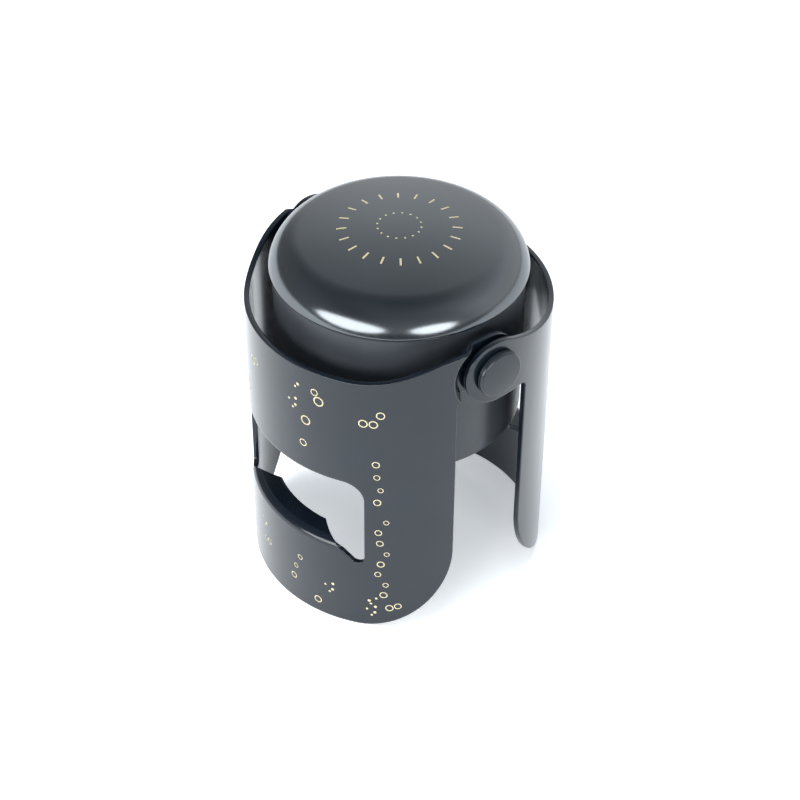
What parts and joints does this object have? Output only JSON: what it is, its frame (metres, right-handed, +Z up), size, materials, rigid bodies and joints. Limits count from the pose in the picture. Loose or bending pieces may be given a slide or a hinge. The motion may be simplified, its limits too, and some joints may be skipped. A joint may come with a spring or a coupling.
{
  "type": "champagne stopper",
  "caption": "Domed cap with a rubber seal and hinged sheet-metal wings that hook under the lip of a sparkling wine bottle and hold it closed.",
  "frame": {"origin": "on the floor under the cap's axis", "axes": "+Z up along the cap's and the bottle's axis, X along the rivets that the wings swing on, the front wing faces -Y and the rear wing +Y"},
  "size_m": [0.0496, 0.047, 0.0607],
  "materials": {
    "cover_lacquer": "gloss black lacquer",
    "cap_plastic": "satin black moulding",
    "wing_paint": "satin black paint with pale gold print",
    "rivet_paint": "satin black",
    "seal_rubber": "matte black rubber",
    "washer_plastic": "black nylon"
  },
  "bodies": {
    "cap": {"cap_cover": "cover_lacquer", "cap_body": "cap_plastic", "rubber_seal": "seal_rubber", "rivet_right": "rivet_paint", "rivet_left": "rivet_paint", "spacer_washer_right": "washer_plastic", "spacer_washer_left": "washer_plastic"},
    "front_wing": {"front_wing": "wing_paint"},
    "rear_wing": {"rear_wing": "wing_paint"}
  },
  "joints": [
    {"name": "front_wing_pivot", "type": "hinge", "parent": "cap", "child": "front_wing", "pos_m": [0, 0, 0.048], "axis": [-1, 0, 0], "range_deg": [-8, 30]},
    {"name": "rear_wing_pivot", "type": "hinge", "parent": "cap", "child": "rear_wing", "pos_m": [0, 0, 0.048], "axis": [1, 0, 0], "range_deg": [-8, 30]}
  ]
}
